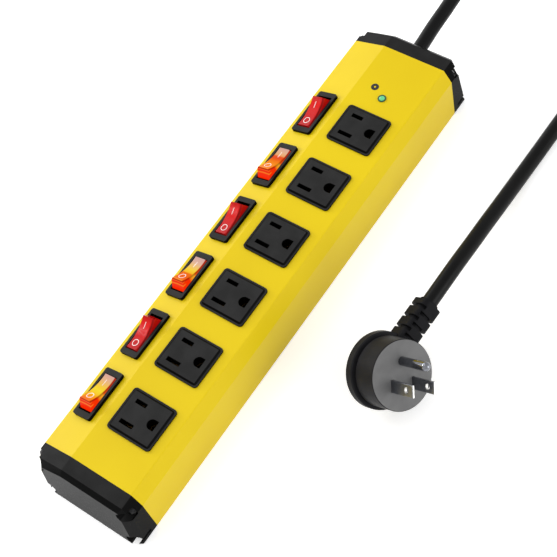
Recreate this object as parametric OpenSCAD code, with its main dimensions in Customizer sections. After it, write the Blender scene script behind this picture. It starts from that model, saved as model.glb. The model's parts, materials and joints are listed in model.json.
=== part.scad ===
// Six-way metal power strip with an individual rocker switch for each outlet.
// Millimetres. Origin: centre of the underside; +Y runs along the strip to the
// cord end, +X to the outlet side, +Z up.

/* [Extruded body] */
// Length of the metal body between the end caps
body_l = 289; // [260:1:340]
// Width of the body
body_w = 64.2; // [62:0.2:80]
// Height of the body
body_h = 37.2; // [36:0.2:48]
// Thickness of the extruded wall
wall = 1.5; // [1.2:0.1:1.8]
// Horizontal width of the sloping switch facet
facet_w = 20.7; // [19.5:0.1:24]
// Height that the switch facet rises
facet_rise = 6.7; // [5:0.1:8]
// Horizontal width of the bevel on the outlet side
bevel_w = 4.4; // [3:0.1:6]
// Height of the bevel on the outlet side
bevel_drop = 8; // [6:0.1:9]
// Radius on the long edges of the body
edge_r = 0.8; // [0.4:0.1:1.2]

/* [Screw channels] */
// Outer radius of the round screw channels
channel_r = 2.9; // [2.6:0.1:3.2]
// Radius of the hole in each screw channel
channel_bore_r = 1.8; // [1.6:0.05:2]
// Distance of the lower channels from the sides
channel_side = 4; // [3.4:0.1:5]
// Height of the lower channels above the underside
channel_low = 3.9; // [3.4:0.1:5]
// Depth of the upper channel on the outlet side below the top
channel_drop_right = 7.7; // [7:0.1:9]
// Depth of the upper channel on the switch side below the top
channel_drop_left = 9.9; // [9.4:0.1:11]
// Distance of the upper channel on the switch side from that side
channel_side_left = 2.9; // [2.7:0.1:3.2]

/* [End caps] */
// Length of a cap where it is flush with the top face
cap_flush = 8; // [7:0.1:10]
// Length of a cap at its foot
cap_foot = 14.5; // [13.5:0.1:18]
// Lean of the end face, in degrees
cap_lean = 6.3; // [3:0.1:8]
// Angle of the chamfer round the top, from upright
cap_top_chamfer = 42; // [35:1:50]
// Length of the side chamfer along the strip
cap_side_chamfer = 3.4; // [2:0.1:4]
// Angle of the side chamfer on the outlet side, from the end face
cap_side_angle = 36; // [25:1:45]
// Angle of the side chamfer on the switch side, from the end face
cap_switch_angle = 46; // [35:1:50]
// Thickness of the lip that enters the body
lip_t = 1.6; // [1.2:0.1:2]
// Length of the lip inside the body
lip_l = 4; // [3:0.5:6]
// Thickness of plastic under each screw head
screw_seat = 3.9; // [3:0.1:4.5]
// Radius of the screw pockets
pocket_r = 4.2; // [4:0.1:4.4]
// Radius of a screw head
screw_head_r = 3.3; // [3:0.1:3.6]
// Height of a screw head
screw_head_h = 2.3; // [1.8:0.1:2.6]
// Radius of a screw shank
screw_r = 1.75; // [1.5:0.05:1.75]
// Length of screw that enters the body
screw_grip = 9; // [6:0.5:14]

/* [Outlets] */
// Number of outlets, each with its switch
outlets = 6; // [6]
// Distance of outlet 1 from the body's cord end
cord_margin = 56; // [54:0.5:60]
// Distance of the last outlet from the body's other end
far_margin = 34.5; // [32:0.5:38]
// Width of an outlet's flange across the strip
flange_w = 27.7; // [26.5:0.1:29]
// Length of an outlet's flange along the strip
flange_l = 25.3; // [24.5:0.1:27]
// Thickness of the flange
flange_t = 0.9; // [0.7:0.1:1.2]
// Height of the raised face above the flange
face_t = 0.9; // [0.6:0.1:1.2]
// Strip of flange left round the raised face
flange_rim = 1; // [0.8:0.1:1.3]
// Slope of the raised face's edge, measured across
face_slope = 0.9; // [0.6:0.1:1.2]
// Overlap of the flange over the body's cut-out
flange_lap = 0.9; // [0.7:0.1:1.2]
// Depth of an outlet below the body's top
outlet_depth = 20; // [18:0.5:22]
// Thickness of an outlet's front wall
outlet_front = 3; // [2.5:0.1:3.5]
// Distance of the blade slots from the flange's middle
slot_shift = -4.9; // [-5.2:0.1:-4.6]
// Distance between the two blade slots
blade_gap = 12.7; // [12.7]
// Distance from the blade slots to the ground hole
ground_gap = 11.86; // [11.86]
// Width of the blade slots
slot_w = 2.4; // [2.2:0.1:2.6]
// Length of the live slot
live_slot = 6.9; // [6.7:0.1:7.3]
// Length of the neutral slot
neutral_slot = 8.4; // [8.2:0.1:8.8]
// Radius of the ground hole's round side
ground_r = 2.9; // [2.8:0.05:3]
// Distance of the ground hole's flat side from its centre
ground_flat = 2.3; // [2:0.1:2.6]

/* [Contacts] */
// Thickness of the contact metal
contact_t = 0.5; // [0.4:0.05:0.6]
// Gap between the two leaves of a contact
leaf_gap = 1.7; // [1.6:0.05:1.8]
// Height of a contact's leaves
leaf_h = 13; // [10:0.5:14]
// Depth of the contacts below an outlet's front wall
contact_drop = 4; // [0.3:0.1:4.5]
// Radius inside a ground contact
ground_sleeve_r = 2.5; // [2.45:0.05:2.55]
// Thickness of the bus bars
bus_t = 1; // [0.8:0.1:1.2]
// Width of the bus bars
bus_w = 5; // [4:0.5:6]
// Depth of the bus bars below the body's top
bus_depth = 24; // [23.5:0.5:25]

/* [Rocker switches] */
// Width of a switch's bezel across the facet
bezel_w = 12.9; // [12.4:0.1:13.4]
// Length of a switch's bezel along the strip
bezel_l = 29.4; // [29:0.1:31]
// Height of the bezel above the facet
bezel_h = 2; // [1.6:0.1:2.2]
// Width of a switch's case below the facet
case_w = 11; // [10.8:0.1:11.2]
// Length of a switch's case below the facet
case_l = 27.2; // [27:0.1:28]
// Depth of a switch's case below the facet
case_depth = 17.5; // [17.2:0.1:18.5]
// Width of a rocker
rocker_w = 9; // [8.6:0.1:9.2]
// Gap on each side of a rocker
rocker_gap = 0.2; // [0.15:0.05:0.3]
// Radius on which a rocker's top corners lie about its pivot
rocker_r = 12.5; // [12.3:0.1:12.6]
// Depth of the pivot below the facet
pivot_depth = 3.5; // [3.2:0.1:3.8]
// Half the angle that a rocker's top spans at its pivot
rocker_span = 46.9; // [45:0.1:48]
// Height of the top's middle above the pivot
dish_h = 6.9; // [6.6:0.1:7.2]
// Tilt of a rocker each way
rocker_tilt = 13.35; // [12:0.05:13.5]
// Slope of a rocker's end faces, outwards below the top
rocker_draft = 17.5; // [14:0.5:19]
// Width of the sloping shoulder along each side of a rocker
shoulder_w = 1; // [0.7:0.1:1.1]
// How far that shoulder drops
shoulder_h = 1.3; // [0.9:0.1:1.4]
// Thickness of a rocker's walls
rocker_wall = 1; // [0.8:0.1:1.2]
// Radius of the rocker's pivot pins
pivot_r = 1.2; // [1:0.05:1.3]
// Tilt of the contact lever each way
lever_tilt = 7; // [5:0.5:7]
// Length of the contact lever
lever_l = 14.4; // [13:0.1:15]
// Width of the contact lever
lever_w = 4; // [3:0.1:4.4]

/* [Indicator and surge board] */
// Distance of the indicator from the body's cord end
indicator_back = 31.9; // [30:0.1:34]
// Radius of the indicator's lens
lens_r = 1.6; // [1.4:0.05:2]
// Radius of the indicator's holder
holder_r = 2.4; // [2.3:0.05:3]
// Height of the surge board above the underside
board_z = 16; // [14:0.5:18]
// Thickness of the surge board
board_t = 1.6; // [1:0.1:2]
// Width of the surge board
board_w = 34; // [28:0.5:36]
// Length of the surge board
board_l = 26; // [22:0.5:28]

/* [Cord and plug] */
// Diameter of the cord
cord_d = 8.6; // [8.6]
// Height of the cord's exit
cord_z = 19; // [19]
// Distance of the cord's exit from the middle of the cap
cord_x = -2; // [-2]
// Radius of the plug's body
plug_r = 18.3; // [17:0.1:19]
// Radius of the plug's rear rim
plug_rim_r = 20.2; // [19:0.1:21]
// Thickness of the plug at its rim
plug_t = 21.3; // [20.5:0.1:22]
// Thickness of the plug's rear rim
plug_rim_t = 5.5; // [4:0.1:6]
// Height of the dome on the plug's back
plug_dome = 3; // [1:0.1:4]
// Lean of the plug's front face, in degrees
plug_lean = 37.3; // [37.3]
// Turn of the plug on the floor, in degrees
plug_yaw = -4.2; // [-4.2]
// Turn of the whole plug about its axis, in degrees
plug_roll = 3.4; // [3.4]
// Turn of the plug's pins about its axis, in degrees
plug_turn = 45.6; // [45.6]
// Distance of the blades from the plug's axis
blade_drop = 4.5; // [4:0.1:5.2]
// Width of the plug's blades
blade_w = 6.35; // [6.35]
// Thickness of the plug's blades
blade_t = 1.5; // [1.5]
// Length of the plug's blades
blade_l = 17.6; // [16:0.1:18]
// Radius of the plug's ground pin
pin_r = 2.38; // [2.38]
// Length of the plug's ground pin
pin_l = 21.8; // [20.5:0.1:22.3]
// Number of slots down each side of the plug's strain relief
relief_ribs = 3; // [2:1:4]
// Distance from one slot to the next on the same side
relief_pitch = 7; // [6.5:0.1:7.5]
// Thickness of plastic between one slot and the next
relief_rib = 1.5; // [1.2:0.1:1.8]
// Width of the strain relief
relief_w = 12.6; // [12:0.1:13.5]
// Rounding of the strain relief's long edges
relief_corner = 3.2; // [3:0.1:4]

/* [Hidden] */
$fn = 48;

// Clearances
fit = 0.2;          // piece in its cut-out
run = 0.05;         // pivot in its hole
seat = 0.05;        // pieces that touch
cut = 1;            // overshoot of a cutting shape
big = 200;          // size of a cutting block

half_l = body_l / 2;
pitch = (body_l - cord_margin - far_margin) / (outlets - 1);
row_shift = (far_margin - cord_margin) / 2;
facet_a = atan2(facet_rise, facet_w);
top_left = -body_w / 2 + facet_w;
top_right = body_w / 2 - bevel_w;
outlet_x = (top_left + top_right) / 2 - 0.4;
slot_x = outlet_x + slot_shift;
ground_x = slot_x + ground_gap;
facet_mid = [-body_w / 2 + facet_w / 2, 0, body_h - facet_rise / 2];

// Switches 1, 3 and 5 rest off, with the outer end up; 2, 4 and 6 rest on.
function outlet_y(k) = row_shift + ((outlets + 1) / 2 - k) * pitch;
function rest_tilt(k) = k % 2 == 1 ? rocker_tilt : -rocker_tilt;

// Section of the body, seen along +Y
outline = [
    [-body_w / 2, 0], [body_w / 2, 0], [body_w / 2, body_h - bevel_drop],
    [top_right, body_h], [top_left, body_h], [-body_w / 2, body_h - facet_rise]
];
channels = [
    [body_w / 2 - channel_side, channel_low],
    [-body_w / 2 + channel_side, channel_low],
    [body_w / 2 - channel_side, body_h - channel_drop_right],
    [-body_w / 2 + channel_side_left, body_h - channel_drop_left]
];

function unit(v) = v / norm(v);
function prev(p, i) = p[(i + len(p) - 1) % len(p)];
function next(p, i) = p[(i + 1) % len(p)];
function inward(a, b) = let (d = unit(b - a)) [-d.y, d.x];
function inset(p, t) = [
    for (i = [0 : len(p) - 1])
        let (m = inward(prev(p, i), p[i]), n = inward(p[i], next(p, i)))
            p[i] + t * (m + n) / (1 + m * n)
];
function fillet(a, b, c, r, n) =
    let (
        u = unit(a - b), w = unit(c - b), half = acos(u * w) / 2,
        o = b + unit(u + w) * r / sin(half), p = b + u * r / tan(half) - o, q = b + w * r / tan(half) - o,
        start = atan2(p.y, p.x), sweep = (atan2(q.y, q.x) - start + 540) % 360 - 180
    )
    [for (i = [0 : n]) o + r * [cos(start + sweep * i / n), sin(start + sweep * i / n)]];
function rounded(p, r, n = 4) = [for (i = [0 : len(p) - 1]) each fillet(prev(p, i), p[i], next(p, i), r, n)];

// A section in the XZ plane, drawn out along +Y from y
module along(y, length) {
    translate([0, y + length, 0])
        rotate([90, 0, 0])
            linear_extrude(length) children();
}

module rod(y, length, r) {
    translate([0, y, 0])
        rotate([-90, 0, 0])
            cylinder(h = length, r = r);
}

module block(size, centre) {
    translate(centre) cube(size, center = true);
}

module rounded_block(w, l, r, z, h) {
    translate([0, 0, z])
        linear_extrude(h)
            polygon(rounded([[-w / 2, -l / 2], [w / 2, -l / 2], [w / 2, l / 2], [-w / 2, l / 2]], r));
}

// A round tube through a list of points
module tube(route, r, sides) {
    last = len(route) - 1;
    points = [
        for (i = [0 : last])
            let (
                t = unit(route[min(i + 1, last)] - route[max(i - 1, 0)]),
                s = unit(cross(t, [0.1, 0, 1])),
                u = cross(s, t)
            )
            for (j = [0 : sides - 1])
                route[i] + r * (cos(360 * j / sides) * s + sin(360 * j / sides) * u)
    ];
    walls = [
        for (i = [0 : last - 1], j = [0 : sides - 1])
            let (a = i * sides + j, b = i * sides + (j + 1) % sides)
                each [[a, b, a + sides], [b, b + sides, a + sides]]
    ];
    ends = [[for (j = [sides - 1 : -1 : 0]) j], [for (j = [0 : sides - 1]) last * sides + j]];
    polyhedron(points, concat(walls, ends));
}

module at_channels() {
    for (c = channels)
        translate([c.x, 0, c.y]) children();
}

// Switch space: origin on the facet, local X across the facet, Z out of it
module at_switch(k) {
    translate([facet_mid.x, outlet_y(k), facet_mid.z])
        rotate([0, -facet_a, 0]) children();
}

module at_pivot(k) {
    at_switch(k)
        translate([0, 0, -pivot_depth]) children();
}

module at_outlet(k) {
    translate([outlet_x, outlet_y(k), body_h]) children();
}

// ---- Body and caps ----
hole_w = flange_w - 2 * flange_lap;
hole_l = flange_l - 2 * flange_lap;

module extruded_body() {
    color("gold")
        difference() {
            union() {
                difference() {
                    along(-half_l, body_l) polygon(rounded(outline, edge_r));
                    along(-half_l - cut, body_l + 2 * cut) polygon(inset(outline, wall));
                }
                intersection() {
                    along(-half_l, body_l) polygon(inset(outline, wall / 2));
                    at_channels() rod(-half_l, body_l, channel_r);
                }
            }
            at_channels() rod(-half_l - cut, body_l + 2 * cut, channel_bore_r);
            for (k = [1 : outlets]) {
                at_outlet(k) block([hole_w, hole_l, 2 * wall + cut], [0, 0, 0]);
                at_switch(k) block([case_w + 2 * fit, case_l + 2 * fit, 2 * wall + cut], [0, 0, 0]);
            }
            translate([indicator_x, indicator_y, body_h - wall - cut])
                cylinder(h = wall + 2 * cut, r = lens_r + fit);
        }
}

cap_wall = wall + fit + lip_t;
cap_hollow = cap_flush - 2.4;

// A block that trims everything beyond a plane which leans back by a degrees
module trim(at, across, a, about = 0) {
    translate(at)
        rotate([0, across, 0])
            rotate([a, 0, about])
                translate([-big, 0, -big]) cube([2 * big, big, 2 * big]);
}

module cap_blank() {
    bevel_a = atan2(bevel_drop, bevel_w);
    difference() {
        along(half_l + seat, cap_foot) polygon(rounded(outline, edge_r));
        trim([0, half_l + cap_foot, 0], 0, cap_lean);
        trim([0, half_l + cap_flush, body_h], 0, cap_top_chamfer);
        trim([top_left, half_l + cap_flush, body_h], -facet_a, cap_top_chamfer);
        trim([top_right, half_l + cap_flush, body_h], bevel_a, cap_top_chamfer);
        trim([body_w / 2, half_l + cap_foot - cap_side_chamfer, 0], 0, cap_lean, -cap_side_angle);
        trim([-body_w / 2, half_l + cap_foot - cap_side_chamfer, 0], 0, cap_lean, cap_switch_angle);
        at_channels() rod(half_l + screw_seat, cap_foot, pocket_r);
    }
}

// The rear cap; the front cap is its mirror image
module cap() {
    difference() {
        union() {
            difference() {
                cap_blank();
                difference() {
                    along(half_l - cut, cap_hollow + cut) polygon(inset(outline, cap_wall));
                    at_channels() rod(half_l - 2 * cut, cap_foot, pocket_r + lip_t);
                }
            }
            difference() {
                along(half_l - lip_l, lip_l + cut) polygon(inset(outline, wall + fit));
                along(half_l - lip_l - cut, lip_l + 3 * cut) polygon(inset(outline, cap_wall));
                at_channels() rod(half_l - lip_l - cut, lip_l + cut + seat, channel_r + 2 * fit);
            }
        }
        at_channels() rod(half_l - lip_l, cap_foot, screw_r + fit);
    }
}

// Cord clamp inside the rear cap
saddle_w = 26;
saddle_l = 7;
strap_screw_x = 9;
strap_t = 3;
strap_h = cord_d / 2 + strap_t;
saddle_y = half_l - lip_l;

module rear_end_cap() {
    color([0.13, 0.13, 0.14])
        difference() {
            union() {
                cap();
                difference() {
                    block([saddle_w, saddle_l + lip_l, 5], [cord_x, saddle_y + (saddle_l + lip_l) / 2, cord_z - 3.5]);
                    translate([cord_x, 0, cord_z]) rod(saddle_y - cut, cap_foot, cord_d / 2 + seat);
                }
            }
            translate([cord_x, 0, cord_z]) rod(half_l, 2 * cap_foot, cord_d / 2 + fit);
            for (s = [-1, 1])
                translate([cord_x + s * strap_screw_x, saddle_y + saddle_l / 2, cord_z - 5])
                    cylinder(h = 5, r = 1.3);
        }
}

module front_end_cap() {
    color([0.13, 0.13, 0.14])
        mirror([0, 1, 0]) cap();
}

module cap_screw() {
    recess = 0.9;
    difference() {
        rotate([-90, 0, 0])
            union() {
                cylinder(h = screw_head_h * 0.55, r = screw_head_r);
                translate([0, 0, screw_head_h * 0.55])
                    cylinder(h = screw_head_h * 0.45, r1 = screw_head_r, r2 = screw_head_r * 0.62);
                translate([0, 0, -screw_seat - screw_grip]) cylinder(h = screw_seat + screw_grip, r = screw_r);
            }
        for (a = [0, 90])
            rotate([0, a, 0])
                block([recess, 2.4, screw_head_r * 1.15], [0, screw_head_h, 0]);
    }
}

module cap_screws() {
    at_channels() translate([0, half_l + screw_seat + seat, 0]) cap_screw();
}

module rear_cap_screws() {
    color("silver") cap_screws();
}

module front_cap_screws() {
    color("silver")
        mirror([0, 1, 0]) cap_screws();
}

module cord_strap() {
    color("silver")
        difference() {
            block([saddle_w - 2, saddle_l - 1, strap_h], [cord_x, saddle_y + saddle_l / 2, cord_z + strap_h / 2]);
            translate([cord_x, 0, cord_z]) rod(saddle_y - cut, saddle_l + 2 * cut, cord_d / 2 + seat);
            for (s = [-1, 1])
                translate([cord_x + s * strap_screw_x, saddle_y + saddle_l / 2, cord_z - cut])
                    cylinder(h = strap_h + 2 * cut, r = 1.6);
            for (s = [-1, 1])
                block([saddle_w, saddle_l, strap_h],
                      [cord_x + s * (saddle_w / 2 + cord_d / 2 + 1.2), saddle_y + saddle_l / 2, cord_z + strap_h / 2 + 2]);
        }
}

module strap_screws() {
    color("silver")
        for (s = [-1, 1])
            translate([cord_x + s * strap_screw_x, saddle_y + saddle_l / 2, cord_z + 2 + seat])
                difference() {
                    union() {
                        cylinder(h = 1.8, r = 2.5);
                        translate([0, 0, -6.4]) cylinder(h = 6.5, r = 1.25);
                    }
                    block([4, 0.7, 1.2], [0, 0, 1.8]);
                }
}

// ---- Outlets ----
module edge_slope(length, width, turn) {
    rotate([90, 0, turn])
        linear_extrude(length, center = true)
            polygon([
                [-width / 2, 0], [width / 2, 0], [width / 2 - face_slope, face_t], [-width / 2 + face_slope, face_t]
            ]);
}

module outlet(k) {
    face_w = flange_w - 2 * flange_rim;
    face_l = flange_l - 2 * flange_rim;
    block_w = hole_w - 2 * fit;
    block_l = hole_l - 2 * fit;
    chamber = contact_t * 2 + leaf_gap + 0.5;
    front = flange_t + face_t - outlet_front;
    color([0.2, 0.2, 0.2])
        at_outlet(k)
            difference() {
                union() {
                    rounded_block(flange_w, flange_l, 2, seat, flange_t - seat);
                    intersection() {
                        translate([0, 0, flange_t]) edge_slope(face_l, face_w, 0);
                        translate([0, 0, flange_t]) edge_slope(face_w, face_l, 90);
                        rounded_block(face_w, face_l, 1.6, flange_t - cut, face_t + 2 * cut);
                    }
                    block([block_w, block_l, outlet_depth + flange_t / 2], [0, 0, (flange_t / 2 - outlet_depth) / 2]);
                    for (s = [-1, 1])
                        translate([s * (block_w / 2 - 0.3), 0, -wall - 0.3])
                            rotate([90, 0, 0])
                                linear_extrude(8, center = true)
                                    polygon([[0, 0], [s * 1.4, 0], [0, -4]]);
                }
                translate([slot_shift, blade_gap / 2, 0]) {
                    block([live_slot, slot_w, 3 * outlet_depth], [0, 0, 0]);
                    block([live_slot + 1, chamber, outlet_depth + cut], [0, 0, front - (outlet_depth + cut) / 2]);
                }
                translate([slot_shift, -blade_gap / 2, 0]) {
                    block([neutral_slot, slot_w, 3 * outlet_depth], [0, 0, 0]);
                    block([neutral_slot + 1, chamber, outlet_depth + cut], [0, 0, front - (outlet_depth + cut) / 2]);
                }
                translate([slot_shift + ground_gap, 0, 0]) {
                    intersection() {
                        union() {
                            translate([0, 0, -outlet_depth]) cylinder(h = 2 * outlet_depth, r = ground_r);
                            block([2 * ground_r, 2 * ground_r, 3 * outlet_depth], [ground_r, 0, 0]);
                        }
                        block([2 * ground_r + 2 * ground_flat, 4 * ground_r, 3 * outlet_depth], [-ground_r, 0, 0]);
                    }
                    translate([0, 0, front - outlet_depth - cut])
                        cylinder(h = outlet_depth + cut, r = ground_sleeve_r + contact_t + 0.3);
                }
            }
}

// Contacts: two leaves on a web, with a tail down to a bus bar or a lead
contact_top = flange_t + face_t - outlet_front - contact_drop;

module blade_contact(length, tail_x, tail_end) {
    for (s = [-1, 1])
        block([length, contact_t, leaf_h], [0, s * (leaf_gap + contact_t) / 2, contact_top - leaf_h / 2]);
    block([length, leaf_gap + 2 * contact_t, contact_t], [0, 0, contact_top - leaf_h]);
    block([2.4, contact_t, tail_end + contact_top - leaf_h], [tail_x, 0, (contact_top - leaf_h - tail_end) / 2]);
}

tail_side = 2.8;
live_tail = outlet_depth + 2.4;

module live_contacts() {
    color("goldenrod")
        for (k = [1 : outlets])
            at_outlet(k)
                translate([slot_shift, blade_gap / 2, 0]) blade_contact(live_slot, tail_side - 0.6, live_tail);
}

module neutral_contacts() {
    color("goldenrod")
        for (k = [1 : outlets])
            at_outlet(k)
                translate([slot_shift, -blade_gap / 2, 0]) blade_contact(neutral_slot, -tail_side, bus_depth);
}

module ground_contacts() {
    color("goldenrod")
        for (k = [1 : outlets])
            at_outlet(k)
                translate([slot_shift + ground_gap, 0, 0]) {
                    difference() {
                        translate([0, 0, contact_top - leaf_h])
                            cylinder(h = leaf_h, r = ground_sleeve_r + contact_t);
                        translate([0, 0, contact_top - leaf_h + contact_t])
                            cylinder(h = leaf_h, r = ground_sleeve_r);
                        block([1, 4 * ground_sleeve_r, leaf_h], [0, 0, contact_top - leaf_h / 2 + 2 * contact_t]);
                    }
                    block([contact_t, 3, bus_depth + contact_top - leaf_h],
                          [0, 0, (contact_top - leaf_h - bus_depth) / 2]);
                }
}

bus_l = (outlets - 1) * pitch + 24;

module flat_bus(x) {
    color("peru")
        block([bus_w, bus_l, bus_t], [x, row_shift, body_h - bus_depth - bus_t / 2 - seat]);
}

module neutral_bus() {
    flat_bus(slot_x - tail_side);
}

module ground_bus() {
    flat_bus(ground_x);
}

// ---- Rocker switches ----
cavity_w = rocker_w + 2 * rocker_gap;
cavity_r = rocker_r + rocker_gap;
floor_t = 1.5;
floor_top = floor_t - case_depth;
lever_t = 0.8;
saddle_r = 0.4;
plunger_r = 1.2;
lever_room = 2.7;                           // from the case's floor to the plunger's tip
plunger_reach = case_depth - floor_t - pivot_depth - lever_room;
plunger_l = plunger_reach - 1.8;
stem_foot = plunger_reach - 3.3;
lever_top = -pivot_depth - plunger_reach - 0.12;
lever_axis = lever_top - lever_t - saddle_r - 0.03;
rivet_y = 6;
rivet_r = 1.1;
rivet_h = 0.5;
stop_top = lever_axis + (saddle_r + 0.03 - rivet_h) * cos(lever_tilt)
    - (rivet_y + rivet_r) * sin(lever_tilt) - 0.1;
tab_y = 11;
tab_w = 4.8;
tab_t = 0.8;
line_tab = case_depth + 7.9;
load_tab = case_depth + 3.6;
lamp_y = 5;
lamp_depth = 2;
lamp_r = 1.5;
leg_x = 2.6;
leg_r = 0.3;
switch_lead_r = 0.9;
switch_lead_drop = 4.6;                     // height of a lead's end above its lowest run

// A solid of width w, centred across the switch, from a section in its YZ plane
module across(w) {
    rotate([90, 0, 90])
        linear_extrude(w, center = true) children();
}

module switch_case(k) {
    color([0.15, 0.15, 0.15])
        at_switch(k)
            difference() {
                union() {
                    rounded_block(bezel_w, bezel_l, 1.2, seat, bezel_h - seat);
                    block([case_w, case_l, case_depth + bezel_h / 2], [0, 0, (bezel_h / 2 - case_depth) / 2]);
                    for (s = [-1, 1])
                        translate([0, s * (case_l / 2 - 0.3), -wall - 0.3])
                            across(5) polygon([[0, 0], [s * 0.9, 0], [0, -4]]);
                }
                translate([0, 0, -pivot_depth])
                    across(cavity_w) intersection() {
                        circle(r = cavity_r);
                        translate([-big / 2, floor_top + pivot_depth]) square(big);
                    }
                block([cavity_w - 1.4, 2 * (rivet_y + rivet_r) + 1.6, -floor_top], [0, 0, floor_top / 2]);
                block([lever_w + 2 * fit, tab_y, stop_top + fit - floor_top],
                      [0, -tab_y / 2, (stop_top + fit + floor_top) / 2]);
                translate([0, 0, -pivot_depth]) across(case_w + cut) circle(r = pivot_r + run);
                for (y = [-tab_y, 0, tab_y])
                    block([tab_w + 2 * seat, tab_t + 2 * seat, case_depth], [0, y, -case_depth]);
                for (s = [-1, 1])
                    translate([s * leg_x, lamp_y, -case_depth - cut])
                        cylinder(h = case_depth, r = leg_r + seat);
            }
}

// Where a rocker's sloping end lies at a height above its pivot
function rocker_end(z) = rocker_reach + (rocker_corner - z) * tan(rocker_draft);

// Section of a rocker about its pivot. The inset gives the section of its own hollow, which is open below.
module rocker_section(inset) {
    foot = rocker_foot - (inset > 0 ? cut : 0);
    top = rocker_corner + 1;
    difference() {
        polygon([[inset - rocker_end(top), top], [rocker_end(top) - inset, top],
                 [rocker_end(foot) - inset, foot], [inset - rocker_end(foot), foot]]);
        translate([0, dish_h - inset + dish_r]) circle(r = dish_r, $fn = 96);
    }
}

rocker_foot = 2.2;
hub_r = 2.3;
rocker_reach = rocker_r * sin(rocker_span);
rocker_corner = rocker_r * cos(rocker_span);
dish_rise = rocker_corner - dish_h;
dish_r = (rocker_reach * rocker_reach + dish_rise * dish_rise) / (2 * dish_rise);

// What the sloping shoulders leave free, along both sides of a rocker's hollow top
module shoulder_cut() {
    for (s = [-1, 1])
        translate([s * (rocker_w / 2 - 2 * shoulder_w), 0, dish_h + dish_r])
            rotate([0, s * 90, 0])
                cylinder(h = 3 * shoulder_w, r1 = dish_r - shoulder_h, r2 = dish_r + 2 * shoulder_h, $fn = 96);
}

module rocker(k) {
    color(rest_tilt(k) > 0 ? [0.75, 0.05, 0.05] : [0.95, 0.3, 0.05])
        at_pivot(k)
            rotate([rest_tilt(k), 0, 0])
                difference() {
                    union() {
                        difference() {
                            across(rocker_w) rocker_section(0);
                            across(rocker_w - 2 * rocker_wall) rocker_section(rocker_wall);
                            shoulder_cut();
                        }
                        for (s = [-1, 1])
                            translate([s * (rocker_w - rocker_wall) / 2, 0, 0])
                                across(rocker_wall) union() {
                                    circle(r = hub_r);
                                    translate([-hub_r, 0]) square([2 * hub_r, rocker_foot + 1]);
                                }
                        across(case_w - 2 * fit) circle(r = pivot_r);
                        translate([0, 0, -stem_foot])
                            cylinder(h = dish_h + stem_foot - rocker_wall / 2, r = hub_r - 0.2);
                    }
                    translate([0, 0, -stem_foot - cut]) cylinder(h = plunger_l + cut, r = plunger_r + run);
                }
}

module plunger(k) {
    color("lightgray")
        at_pivot(k)
            rotate([rest_tilt(k), 0, 0])
                translate([0, 0, plunger_r - plunger_reach]) {
                    sphere(r = plunger_r, $fn = 32);
                    cylinder(h = plunger_l, r = plunger_r);
                }
}

module lever(k) {
    color("goldenrod")
        at_switch(k)
            translate([0, 0, lever_axis])
                rotate([-sign(rest_tilt(k)) * lever_tilt, 0, 0])
                    translate([0, 0, lever_top - lever_axis]) {
                        block([lever_w, lever_l, lever_t], [0, 0, -lever_t / 2]);
                        translate([0, -rivet_y, -lever_t - rivet_h])
                            cylinder(h = rivet_h + 0.1, r = rivet_r);
                    }
}

module terminal_tab(y, depth, top) {
    block([tab_w, tab_t, depth + top], [0, y, (top - depth) / 2]);
}

module switch_terminals() {
    color("goldenrod")
        for (k = [1 : outlets])
            at_switch(k) {
                // line: the lever's rivet meets its shelf when the switch is on
                terminal_tab(-tab_y, line_tab, stop_top);
                block([lever_w, tab_y - rivet_y + rivet_r, stop_top - floor_top - seat],
                      [0, -(tab_y + rivet_y - rivet_r) / 2, (stop_top + floor_top + seat) / 2]);
                // load: the lever rocks on its rounded upper edge
                terminal_tab(0, load_tab, lever_axis);
                translate([0, 0, lever_axis]) across(tab_w) circle(r = saddle_r);
                // lamp return
                terminal_tab(tab_y, load_tab, stop_top);
            }
}

module neon_lamps() {
    color("orange")
        for (k = [1 : outlets])
            at_switch(k)
                translate([0, lamp_y, -lamp_depth]) {
                    across(2 * leg_x + 4 * leg_r) circle(r = lamp_r, $fn = 24);
                    for (s = [-1, 1])
                        translate([s * leg_x, 0, -case_depth + lamp_depth + 0.2])
                            cylinder(h = case_depth - lamp_depth, r = leg_r, $fn = 16);
                }
}

module live_bus() {
    color("peru")
        at_switch((outlets + 1) / 2)
            block([bus_w, bus_l, bus_t], [0, -3, -line_tab - bus_t / 2 - seat]);
}

module switch_leads() {
    tail_x = slot_x + tail_side - 0.6;
    top = body_h - live_tail + 0.4;
    low = top - switch_lead_drop;
    start = facet_mid + (load_tab + switch_lead_r + 0.4) * [sin(facet_a), 0, -cos(facet_a)];
    side = blade_gap / 2 - contact_t / 2 - switch_lead_r - 0.3;
    span = tail_x - start.x;
    color("black")
        for (k = [1 : outlets])
            translate([0, outlet_y(k), 0])
                tube([
                    start - [0.08 * span, tab_t, 0], start + [0.07 * span, tab_t, 0],
                    [start.x + 0.33 * span, side / 2, low], [start.x + 0.58 * span, side, low],
                    [tail_x - 0.18 * span, side, low], [tail_x - 0.05 * span, side, low + 0.2 * switch_lead_drop],
                    [tail_x, side, top]
                ], switch_lead_r, 8);
}

// ---- Indicator and surge board ----
indicator_x = outlet_x - 0.4;
indicator_y = half_l - indicator_back;

module indicator_holder() {
    color([0.1, 0.16, 0.12])
        translate([indicator_x, indicator_y, body_h + seat])
            difference() {
                cylinder(h = 0.4, r = holder_r);
                translate([0, 0, -cut]) cylinder(h = 2 * cut, r = lens_r + seat);
            }
}

module indicator_lens() {
    color("mediumseagreen")
        translate([indicator_x, indicator_y, 0]) {
            translate([0, 0, board_z + board_t + seat])
                cylinder(h = body_h + 0.4 - board_z - board_t - seat, r = lens_r);
            intersection() {
                translate([0, 0, body_h - 2]) sphere(r = sqrt(lens_r * lens_r + 2.4 * 2.4));
                translate([0, 0, body_h + 0.3]) cylinder(h = 2, r = lens_r);
            }
        }
}

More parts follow.
